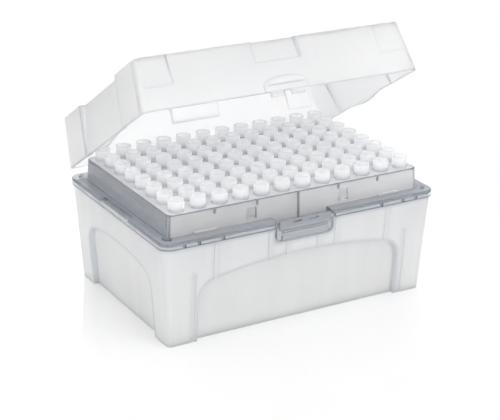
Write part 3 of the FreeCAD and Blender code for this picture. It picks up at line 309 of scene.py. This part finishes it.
def on_piece(tree, kind):
    """The piece's own coordinates for "Object", or its faces' directions for "Normal"."""
    return tree.add("ShaderNodeTexCoord").outputs[kind]


def axes(tree, kind):
    """The X, Y and Z of the piece's own coordinates or of its faces' directions."""
    return tree.add("ShaderNodeSeparateXYZ", inputs={"Vector": on_piece(tree, kind)}).outputs


def mixed_shader(tree, part, first, second):
    """Two shaders, of which the second has the given part."""
    return tree.add("ShaderNodeMixShader",
                    inputs={0: part, 1: first, 2: second}).outputs["Shader"]


# ------------------------------------------------------- colours and surfaces

def blended(tree, part, first, second):
    """Two colours, of which the second has the given part."""
    return tree.add("ShaderNodeMix", data_type="RGBA",
                    inputs={"Factor": part, "A": first, "B": second}).outputs["Result"]


def tinted(tree, base, amount):
    """The colour made lighter or darker by a value about one."""
    grey = tree.add("ShaderNodeCombineColor",
                    inputs={"Red": amount, "Green": amount, "Blue": amount})
    return tree.add("ShaderNodeMix", data_type="RGBA", blend_type="MULTIPLY",
                    inputs={"Factor": 1.0, "A": base,
                            "B": grey.outputs["Color"]}).outputs["Result"]


def mottle(tree, scale, low, high, detail=3.0):
    """A soft noise over the piece, mapped between two values."""
    noise = tree.add("ShaderNodeTexNoise", inputs={
        "Vector": on_piece(tree, "Object"), "Scale": scale, "Detail": detail})
    return ramp(tree, noise.outputs["Fac"], 0.3, 0.7, low, high)


def streaks(tree, low, high):
    """Soft upright bands of painted shade, as ribs and shanks show through a milky wall."""
    stretched = tree.add("ShaderNodeVectorMath", operation="MULTIPLY",
                         inputs={0: on_piece(tree, "Object"), 1: (1.0, 1.0, 0.06)})
    noise = tree.add("ShaderNodeTexNoise", inputs={
        "Vector": stretched.outputs["Vector"], "Scale": 150.0, "Detail": 1.0})
    return ramp(tree, noise.outputs["Fac"], 0.35, 0.65, low, high)


def risen(tree, start, end, low, high):
    """A value that goes from one to another between two heights of the piece."""
    return ramp(tree, axes(tree, "Object")["Z"], start, end, low, high, kind="SMOOTHSTEP")


def outwardness(tree):
    """More than nought on faces turned away from the box's upright axis, less on the rest."""
    where = axes(tree, "Object")
    flat = tree.add("ShaderNodeCombineXYZ", inputs={"X": where["X"], "Y": where["Y"]})
    return dot_product(tree, on_piece(tree, "Normal"), flat.outputs["Vector"])


def edge_shade_mask(tree, radius, start=0.995, end=0.88):
    """One along sharp edges and nought on open faces: where painted edge shade goes."""
    soft = tree.add("ShaderNodeBevel", samples=10, inputs={"Radius": radius})
    sharp = tree.add("ShaderNodeNewGeometry")
    agreement = dot_product(tree, soft.outputs["Normal"], sharp.outputs["Normal"])
    return ramp(tree, agreement, start, end)


def rounded_normal(tree, radius, bumps=None):
    """A normal that softens sharp edges, over an optional bump."""
    inputs = {"Radius": radius}
    if bumps is not None:
        inputs["Normal"] = bumps
    return tree.add("ShaderNodeBevel", samples=4, inputs=inputs).outputs["Normal"]


def fine_bump(tree, scale, strength, height):
    """The fine grain that a spark-eroded mould leaves."""
    grain = mottle(tree, scale, low=0.0, high=1.0, detail=2.0)
    return tree.add("ShaderNodeBump", inputs={
        "Height": grain, "Strength": strength, "Distance": height}).outputs["Normal"]


# ------------------------------------------------------------ milky plastics

def milky_body(tree, shade, clarity, roughness, veil):
    """Natural polypropylene under its shade: matte, finely grained and light-passing."""
    grain = fine_bump(tree, scale=2600.0, strength=0.12, height=0.00004)
    skin = tree.add("ShaderNodeBsdfPrincipled", inputs={
        "Base Color": shade, "IOR": 1.45, "Transmission Weight": clarity, "Alpha": veil,
        "Roughness": mottle(tree, scale=60.0, low=roughness - 0.04, high=roughness + 0.04),
        "Subsurface Weight": 1.0, "Subsurface Radius": (1.0, 1.0, 1.0),
        "Subsurface Scale": 0.0012,
        "Normal": rounded_normal(tree, 0.0004, bumps=grain)})
    tree.add("ShaderNodeOutputMaterial", inputs={"Surface": skin.outputs["BSDF"]})


def tub_plastic(look):
    """White, with painted shade in soft upright streaks, towards the rim and along the edges.
    """
    material, tree = new_material("tub plastic")
    # Painted shade that darkens the wall towards its rim, as the floor lights the lower wall
    # more.
    tub_shade_upwards = risen(tree, TUB_SHADE_FROM, TUB_SHADE_TO, low=1.0, high=0.868)
    tone = math_node(tree, "MULTIPLY", streaks(tree, low=0.965, high=1.0), tub_shade_upwards)
    # Painted shade along the tub's edges.
    edges = edge_shade_mask(tree, radius=0.0025, start=0.9995, end=0.97)
    shade = blended(tree, edges, tinted(tree, look.tub_colour, tone), look.tub_edge_shade)
    milky_body(tree, shade, look.tub_clarity, roughness=0.42, veil=look.tub_veil)
    return material


def lid_plastic(look):
    """White, faintly clouded, with painted shade along the edges."""
    material, tree = new_material("lid plastic")
    face = tinted(tree, look.lid_colour, mottle(tree, scale=26.0, low=0.99, high=1.0))
    # Painted shade along the lid's edges.
    shade = blended(tree, edge_shade_mask(tree, radius=0.0012), face, look.lid_edge_shade)
    milky_body(tree, shade, look.lid_clarity, roughness=0.36, veil=1.0)
    return material


# ------------------------------------------------------------ smoky plastics

def smoky_body(tree, shade, clarity, depth_colour, roughness, density):
    """Styrene under its shade: see-through, smooth, and darker where light goes deep."""
    skin = tree.add("ShaderNodeBsdfPrincipled", inputs={
        "Base Color": shade, "IOR": 1.5, "Transmission Weight": clarity,
        "Roughness": mottle(tree, scale=80.0, low=roughness * 0.8, high=roughness * 1.2),
        "Normal": rounded_normal(tree, 0.00025)})
    depth = tree.add("ShaderNodeVolumeAbsorption",
                     inputs={"Color": depth_colour, "Density": density})
    tree.add("ShaderNodeOutputMaterial", inputs={"Surface": skin.outputs["BSDF"],
                                                 "Volume": depth.outputs["Volume"]})


def level_faces(tree):
    """One on faces that look straight up."""
    return ramp(tree, axes(tree, "Normal")["Z"], 0.9, 0.98)


def smoky_shade(tree, face, ledges, ledge, lines, line):
    """The face's colour, painted shade on the ledges, and lines of painted shade on what looks
    up or outwards.
    """
    leaning_up = ramp(tree, axes(tree, "Normal")["Z"], 0.3, 0.5)
    shown = either(tree, leaning_up, ramp(tree, outwardness(tree), 0.0, 0.01))
    clouded = tinted(tree, face, mottle(tree, scale=40.0, low=0.98, high=1.01))
    faces = blended(tree, ledges, clouded, ledge)
    return blended(tree, both(tree, shown, lines), faces, line)


def skirt_rib_shade(tree):
    """One on the ring's skirt where a rib stands behind it, for a line of painted shade."""
    where = axes(tree, "Object")
    side = unsigned(tree, where["X"])
    ribs = 0.0
    for centre in SKIRT_RIBS:
        away = unsigned(tree, math_node(tree, "SUBTRACT", side, centre))
        ribs = either(tree, ribs, below(tree, away, SKIRT_RIB_HALF_WIDTH))
    return both(tree, ribs, below(tree, where["Z"], SKIRT_RIBS_TOP))


def ring_plastic(look):
    """Pale upright faces, with painted shade on the ledges and in dark lines along the edges
    and ribs.
    """
    material, tree = new_material("smoky plastic")
    # Level ledges get painted shade, and also less clarity.
    ledges = level_faces(tree)
    # Lines of painted shade along the edges and over the ribs behind the skirt.
    lines = either(tree, edge_shade_mask(tree, radius=0.0008), skirt_rib_shade(tree))
    shade = smoky_shade(tree, look.ring_colour, ledges, look.ledge_shade, lines,
                        look.ring_edge_and_rib_shade)
    clarity = ramp(tree, ledges, 0.0, 1.0, look.ring_clarity, look.ledge_clarity)
    smoky_body(tree, shade, clarity, look.smoke_depth, roughness=0.12, density=150.0)
    return material


def latch_plastic(look):
    """Pale faces, with painted shade on the shoulder and ledges and, softer, along the edges.
    """
    material, tree = new_material("smoky latch plastic")
    # The latch's shoulder gets painted shade, like the ledges.
    shoulder = above(tree, axes(tree, "Object")["Z"], LATCH_SHOULDER)
    ledges = either(tree, level_faces(tree), shoulder)
    # Painted shade along the latch's edges.
    shade = smoky_shade(tree, look.latch_colour, ledges, look.ledge_shade,
                        edge_shade_mask(tree, radius=0.0005), look.latch_edge_shade)
    clarity = ramp(tree, ledges, 0.0, 1.0, look.latch_clarity, look.ledge_clarity)
    smoky_body(tree, shade, clarity, look.smoke_depth, roughness=0.2, density=300.0)
    return material


def beyond_end_walls(tree):
    """One on the outer faces of the tray's ends and on its corners."""
    return above(tree, unsigned(tree, axes(tree, "Object")["X"]), TRAY_END_WALLS)


def tray_rib_shade(tree):
    """One on the tray's long walls along its ribs, for lines of painted shade. The middle line
    runs on below its rib.
    """
    where = axes(tree, "Object")
    side = unsigned(tree, where["X"])
    ribs = below(tree, math_node(tree, "PINGPONG", side, PITCH), TRAY_RIB_HALF_WIDTH)
    short = both(tree, above(tree, where["Z"], SHORT_RIBS_FOOT),
                 below(tree, side, SHORT_RIBS_REACH, blur=0.0005))
    middle = both(tree, above(tree, where["Z"], MIDDLE_LINE_FOOT),
                  below(tree, side, MIDDLE_LINE_REACH, blur=0.0005))
    long_walls = ramp(tree, unsigned(tree, axes(tree, "Normal")["Y"]), 0.8, 0.95)
    return both(tree, both(tree, ribs, long_walls), either(tree, short, middle))


def tray_edge_and_rib_shade(tree):
    """One on the tray's rounded rim and corners, and on its ribs, for painted shade."""
    facing = axes(tree, "Normal")
    rim = both(tree, ramp(tree, facing["Z"], 0.1, 0.3), ramp(tree, facing["Z"], 0.99, 0.93))
    across = both(tree, unsigned(tree, facing["X"]), unsigned(tree, facing["Y"]))
    corners = both(tree, ramp(tree, across, 0.455, 0.495), beyond_end_walls(tree))
    return either(tree, either(tree, rim, tray_rib_shade(tree)), corners)


def tray_plastic(look):
    """Frosted walls with painted light growing to the right, painted shade on the ends growing
    upwards, a top and inner faces paled with painted light, and painted shade along the edges
    and ribs.
    """
    material, tree = new_material("smoky frosted plastic")
    facing = axes(tree, "Normal")
    top = ramp(tree, facing["Z"], 0.95, 0.99)
    ends = both(tree, ramp(tree, unsigned(tree, facing["X"]), 0.8, 0.95),
                beyond_end_walls(tree))
    inside = either(tree, ramp(tree, outwardness(tree), 0.0, -0.01),
                    ramp(tree, facing["Z"], -0.9, -0.98))
    # Painted light: the long walls lighter to the right, where the lamps fall more.
    tray_light_to_right = ramp(tree, axes(tree, "Object")["X"], TRAY_LIGHT_FROM, TRAY_LIGHT_TO,
                  low=0.93, high=1.13)
    # Painted shade on the ends, darker towards the top.
    end_shade_upwards = risen(tree, TRAY_END_SHADE_FROM, TRAY_TOP, low=1.0, high=0.5)
    shade = blended(tree, ends, tinted(tree, look.tray_colour, tray_light_to_right),
                    tinted(tree, look.tray_end_shade, end_shade_upwards))
    # Painted light on the top plate.
    shade = blended(tree, top, shade, look.tray_top_light)
    # Painted light on the inner faces.
    shade = blended(tree, inside, shade, look.tray_inside_light)
    # Painted shade along the rim, corners and ribs.
    shade = blended(tree, tray_edge_and_rib_shade(tree), shade, look.tray_edge_shade)
    clarity = ramp(tree, top, 0.0, 1.0, look.tray_clarity, look.tray_top_clarity)
    smoky_body(tree, shade, clarity, look.smoke_depth, roughness=0.2, density=30.0)
    return material


# ------------------------------------------------------------ the tips' plastic

def tip_plastic(look):
    """White and light-passing, with a painted shadow at the foot and painted shade at the rim
    and the edges.
    """
    material, tree = new_material("tip plastic")
    height = axes(tree, "Object")["Z"]
    # A painted shadow on each tip's foot, where it stands in the tray.
    foot = both(tree, above(tree, height, TIP_FOOT_LOW, blur=0.00015),
                below(tree, height, TIP_FOOT_HIGH, blur=0.0008))
    # Painted shade on the rims.
    rim = above(tree, height, TIP_RIM_LOW, blur=0.00015)
    shade = tinted(tree, look.tip_colour, mottle(tree, scale=300.0, low=0.99, high=1.0))
    shade = blended(tree, foot, shade, look.tip_foot_shadow)
    shade = blended(tree, rim, shade, look.tip_rim_shade)
    # Painted shade along the sharp edges.
    shade = blended(tree, edge_shade_mask(tree, radius=0.0005), shade, look.tip_edge_shade)
    skin = tree.add("ShaderNodeBsdfPrincipled", inputs={
        "Base Color": shade, "IOR": 1.45,
        "Roughness": mottle(tree, scale=400.0, low=0.17, high=0.23)})
    through = tree.add("ShaderNodeBsdfTranslucent", inputs={"Color": shade})
    wall = mixed_shader(tree, look.tip_glow, skin.outputs["BSDF"], through.outputs["BSDF"])
    clear = tree.add("ShaderNodeBsdfTransparent")
    seen = mixed_shader(tree, look.tip_veil, clear.outputs["BSDF"], wall)
    tree.add("ShaderNodeOutputMaterial", inputs={"Surface": seen})
    return material


# ----------------------------------------------------------------- the tips

def revolved(name, profile, segments):
    """A closed ring of the profile's points (radius, height) about Z."""
    mesh = bpy.data.meshes.new(name)
    shape = bmesh.new()
    rings = []
    for step in range(segments):
        turn = 2 * math.pi * step / segments
        rings.append([shape.verts.new((r * math.cos(turn), r * math.sin(turn), z))
                      for r, z in profile])
    count = len(profile)
    for step in range(segments):
        here = rings[step]
        there = rings[(step + 1) % segments]
        for i in range(count):
            j = (i + 1) % count
            shape.faces.new((here[i], there[i], there[j], here[j]))
    bmesh.ops.recalc_face_normals(shape, faces=shape.faces)
    for face in shape.faces:
        face.smooth = True
    shape.to_mesh(mesh)
    shape.free()
    return bpy.data.objects.new(name, mesh)


def tip_profile(tips):
    """The section of one tip, from its rim down the bore and back up outside."""
    plate = -tips.collar_height
    seat = plate - tips.seat_depth
    point = -tips.tip_length
    shank = point * 0.62
    outer = tips.collar_radius
    bore = outer - tips.wall
    inside = [(bore, -tips.lip), (bore - 0.0003, -0.0007), (bore - 0.0004, plate + 0.0006),
              (bore - 0.0009, seat - 0.001), (bore * 0.45, shank),
              (tips.point_radius * 0.6, point)]
    below_tray = [(tips.point_radius, point), (tips.neck_radius * 0.52, shank),
                  (tips.neck_radius * 0.94, seat - 0.003), (tips.neck_radius, seat - 0.0002)]
    in_seat = [(tips.neck_radius, seat), (tips.seat_radius, seat),
               (tips.seat_radius + 0.00007, plate - 0.0001)]
    bowl = [(outer - 0.00022, plate + 0.0004), (outer - 0.0001, plate + 0.0009),
            (outer - 0.00002, plate + 0.0016), (outer, plate + 0.0024)]
    rim = [(outer, -tips.lip), (outer - tips.lip, 0.0), (bore + tips.lip, 0.0)]
    return inside + below_tray + in_seat + bowl + rim


def column_tree():
    """A node tree that stands copies of one tip in a row along Y."""
    group = bpy.data.node_groups.new("Tip Column", "GeometryNodeTree")
    face = group.interface
    face.new_socket("Geometry", in_out="OUTPUT", socket_type="NodeSocketGeometry")
    sockets = {}
    for name, kind in (("Tip", "NodeSocketObject"), ("Rows", "NodeSocketInt"),
                       ("Pitch", "NodeSocketFloat"), ("Rim Centre", "NodeSocketVector"),
                       ("Plastic", "NodeSocketMaterial")):
        sockets[name] = face.new_socket(name, in_out="INPUT", socket_type=kind).identifier
    tree = Tree(group)
    given = tree.add("NodeGroupInput").outputs
    gap = tree.add("ShaderNodeCombineXYZ", inputs={"Y": given["Pitch"]})
    row = tree.add("GeometryNodeMeshLine", mode="OFFSET", inputs={
        "Count": given["Rows"], "Start Location": given["Rim Centre"],
        "Offset": gap.outputs["Vector"]})
    tip = tree.add("GeometryNodeObjectInfo", transform_space="ORIGINAL",
                   inputs={"Object": given["Tip"], "As Instance": True})
    stood = tree.add("GeometryNodeInstanceOnPoints", inputs={
        "Points": row.outputs["Mesh"], "Instance": tip.outputs["Geometry"]})
    solid = tree.add("GeometryNodeRealizeInstances",
                     inputs={"Geometry": stood.outputs["Instances"]})
    skin = tree.add("GeometryNodeSetMaterial", inputs={
        "Geometry": solid.outputs["Geometry"], "Material": given["Plastic"]})
    tree.add("NodeGroupOutput", inputs={"Geometry": skin.outputs["Geometry"]})
    return group, sockets


def made_by_nodes(name, group, sockets, values):
    """Run a Geometry Nodes tree and keep its result as a plain mesh object."""
    seed = bpy.data.objects.new(name + "_seed", bpy.data.meshes.new(name + "_seed"))
    bpy.context.scene.collection.objects.link(seed)
    modifier = seed.modifiers.new("nodes", "NODES")
    modifier.node_group = group
    for key, value in values.items():
        modifier[sockets[key]] = value
    bpy.context.view_layer.update()
    depsgraph = bpy.context.evaluated_depsgraph_get()
    mesh = bpy.data.meshes.new_from_object(seed.evaluated_get(depsgraph))
    bpy.data.objects.remove(seed)
    mesh.name = name
    piece = bpy.data.objects.new(name, mesh)
    bpy.context.scene.collection.objects.link(piece)
    return piece


class TIPBOX_OT_tips(bpy.types.Operator):
    """Make the tips, one piece for each column of the rack"""

    bl_idname = "tipbox.tips"
    bl_label = "Tips"

    def execute(self, context):
        tips = context.scene.tip_box_tips
        plastic = tip_plastic(context.scene.tip_box_finishes)
        one = revolved("one_tip", tip_profile(tips), tips.segments)
        context.scene.collection.objects.link(one)
        group, sockets = column_tree()
        for node in TIP_NODES:
            low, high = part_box(node)
            centre = ((low[0] + high[0]) / 2, low[1] + tips.collar_radius, high[2])
            piece = made_by_nodes("tips" + node[len("tip_column"):], group, sockets, {
                "Tip": one, "Rows": tips.rows, "Pitch": tips.pitch,
                "Rim Centre": centre, "Plastic": plastic})
            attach(piece, RACK)
            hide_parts(node)
        bpy.data.objects.remove(one)
        return {"FINISHED"}


# ----------------------------------------------------------- the moulded parts

def dress(node, material):
    """Give a CAD node one material."""
    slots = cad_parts[node].data.materials
    slots.clear()
    slots.append(material)


class TIPBOX_OT_tub(bpy.types.Operator):
    """Finish the milky tub"""

    bl_idname = "tipbox.tub"
    bl_label = "Tub"

    def execute(self, context):
        dress("base_box", tub_plastic(context.scene.tip_box_finishes))
        return {"FINISHED"}


class TIPBOX_OT_lid(bpy.types.Operator):
    """Finish the milky lid"""

    bl_idname = "tipbox.lid"
    bl_label = "Lid"

    def execute(self, context):
        dress("lid", lid_plastic(context.scene.tip_box_finishes))
        return {"FINISHED"}


class TIPBOX_OT_smoky_parts(bpy.types.Operator):
    """Finish the smoky ring, latch and tray"""

    bl_idname = "tipbox.smoky_parts"
    bl_label = "Ring, Latch and Tray"

    def execute(self, context):
        look = context.scene.tip_box_finishes
        dress("carrier_frame", ring_plastic(look))
        dress("release_latch", latch_plastic(look))
        dress("tip_tray", tray_plastic(look))
        return {"FINISHED"}


# ----------------------------------------------------------------- the stage

def floor_white():
    """White that keeps the box's shadow near it, and is plain white further out."""
    material, tree = new_material("floor white")
    skin = tree.add("ShaderNodeBsdfPrincipled", inputs={
        "Base Color": (0.90, 0.90, 0.90), "Roughness": 0.05, "IOR": 1.5})
    white = tree.add("ShaderNodeEmission", inputs={"Strength": 1.0})
    eye = tree.add("ShaderNodeLightPath").outputs["Is Camera Ray"]
    away = tree.add("ShaderNodeVectorMath", operation="LENGTH",
                    inputs={0: on_piece(tree, "Object")})
    lift = both(tree, eye, ramp(tree, away.outputs["Value"], SHADOW_KEPT_TO, FLOOR_WHITE_FROM))
    surface = mixed_shader(tree, lift, skin.outputs["BSDF"], white.outputs["Emission"])
    tree.add("ShaderNodeOutputMaterial", inputs={"Surface": surface})
    return material


def studio_floor():
    """A wide white floor under the box."""
    half = FLOOR_HALF_WIDTH
    level = CAD_BOX[0][2]
    mesh = bpy.data.meshes.new("floor")
    mesh.from_pydata([(-half, -half, level), (half, -half, level), (half, half, level),
                      (-half, half, level)], [], [(0, 1, 2, 3)])
    mesh.materials.append(floor_white())
    floor = bpy.data.objects.new("floor", mesh)
    bpy.context.scene.collection.objects.link(floor)


def studio_dome(strength):
    """Even light from all round. The eye, mirrors and clear things see white."""
    world = bpy.data.worlds.new("studio dome")
    world.use_nodes = True
    world.node_tree.nodes.clear()
    tree = Tree(world.node_tree)
    path = tree.add("ShaderNodeLightPath").outputs
    direct = either(tree, path["Is Camera Ray"], path["Is Glossy Ray"])
    seen = either(tree, direct, path["Is Transmission Ray"])
    light = tree.add("ShaderNodeBackground",
                     inputs={"Color": (1.0, 1.0, 1.0), "Strength": strength})
    white = tree.add("ShaderNodeBackground",
                     inputs={"Color": (1.0, 1.0, 1.0), "Strength": 1.0})
    surface = mixed_shader(tree, seen, light.outputs["Background"],
                           white.outputs["Background"])
    tree.add("ShaderNodeOutputWorld", inputs={"Surface": surface})
    bpy.context.scene.world = world


def soft_lamp(name, power, place, size):
    """A large square lamp that shines on the box."""
    lamp = bpy.data.lights.new(name, "AREA")
    lamp.size = size
    lamp.energy = power
    thing = bpy.data.objects.new(name, lamp)
    thing.location = place
    view = Vector(LAMPS_AIM) - Vector(place)
    thing.rotation_euler = view.to_track_quat("-Z", "Y").to_euler()
    bpy.context.scene.collection.objects.link(thing)


def stage_camera(stage):
    """A camera placed from the middle of the tips' rims."""
    back = Vector((math.sin(stage.azimuth) * math.cos(stage.elevation),
                   -math.cos(stage.azimuth) * math.cos(stage.elevation),
                   math.sin(stage.elevation)))
    right = Vector((math.cos(stage.azimuth), math.sin(stage.azimuth), 0.0))
    up = back.cross(right)
    side = right * math.cos(stage.roll) + up * math.sin(stage.roll)
    top = up * math.cos(stage.roll) - right * math.sin(stage.roll)
    middle = Vector((0.0, 0.0, TIP_RIMS))
    place = middle - side * stage.aim_side - top * stage.aim_up + back * stage.distance
    camera = bpy.data.cameras.new("camera")
    camera.lens = stage.lens
    camera.sensor_width = 36.0
    camera.clip_start = 0.01
    thing = bpy.data.objects.new("camera", camera)
    turn = Matrix((side, top, back)).transposed().to_4x4()
    thing.matrix_world = Matrix.Translation(place) @ turn
    bpy.context.scene.collection.objects.link(thing)
    bpy.context.scene.camera = thing


def deep_light_paths(scene):
    """Let light find its way through many thin walls, and keep it whole behind them."""
    scene.cycles.max_bounces = 32
    scene.cycles.transmission_bounces = 32
    scene.cycles.diffuse_bounces = 8
    scene.cycles.glossy_bounces = 8
    scene.cycles.blur_glossy = 0.0


class TIPBOX_OT_stage(bpy.types.Operator):
    """Set the floor, the light and the camera"""

    bl_idname = "tipbox.stage"
    bl_label = "Stage"

    def execute(self, context):
        stage = context.scene.tip_box_stage
        studio_floor()
        studio_dome(stage.dome)
        soft_lamp("key lamp", stage.key, place=(0.45, -0.9, 0.75), size=1.0)
        soft_lamp("low lamp", stage.fill, place=(-0.8, -0.35, 0.25), size=0.6)
        soft_lamp("top lamp", stage.top, place=(0.1, -0.3, 1.1), size=0.8)
        soft_lamp("back lamp", stage.back, place=(0.2, 0.9, 0.6), size=0.8)
        stage_camera(stage)
        deep_light_paths(context.scene)
        context.scene.view_settings.view_transform = "Standard"
        return {"FINISHED"}


# -------------------------------------------------------------------- add-on

STEPS = ("tub", "smoky_parts", "lid", "tips", "stage")


class TIPBOX_PT_panel(bpy.types.Panel):
    """The steps that dress the box"""

    bl_idname = "TIPBOX_PT_panel"
    bl_label = "Tip Box"
    bl_space_type = "VIEW_3D"
    bl_region_type = "UI"
    bl_category = "Tip Box"

    def draw(self, context):
        for step in STEPS:
            self.layout.operator("tipbox." + step)


GROUPS = {"tip_box_finishes": TipBoxFinishes, "tip_box_tips": TipBoxTips,
          "tip_box_stage": TipBoxStage}
CLASSES = (TipBoxFinishes, TipBoxTips, TipBoxStage, TIPBOX_OT_tub, TIPBOX_OT_smoky_parts,
           TIPBOX_OT_lid, TIPBOX_OT_tips, TIPBOX_OT_stage, TIPBOX_PT_panel)


def register():
    for item in CLASSES:
        bpy.utils.register_class(item)
    for name, group in GROUPS.items():
        setattr(bpy.types.Scene, name, bpy.props.PointerProperty(type=group))


def unregister():
    for name in GROUPS:
        delattr(bpy.types.Scene, name)
    for item in reversed(CLASSES):
        bpy.utils.unregister_class(item)


def main():
    register()
    for step in STEPS:
        getattr(bpy.ops.tipbox, step)()


if __name__ == "__main__":
    main()
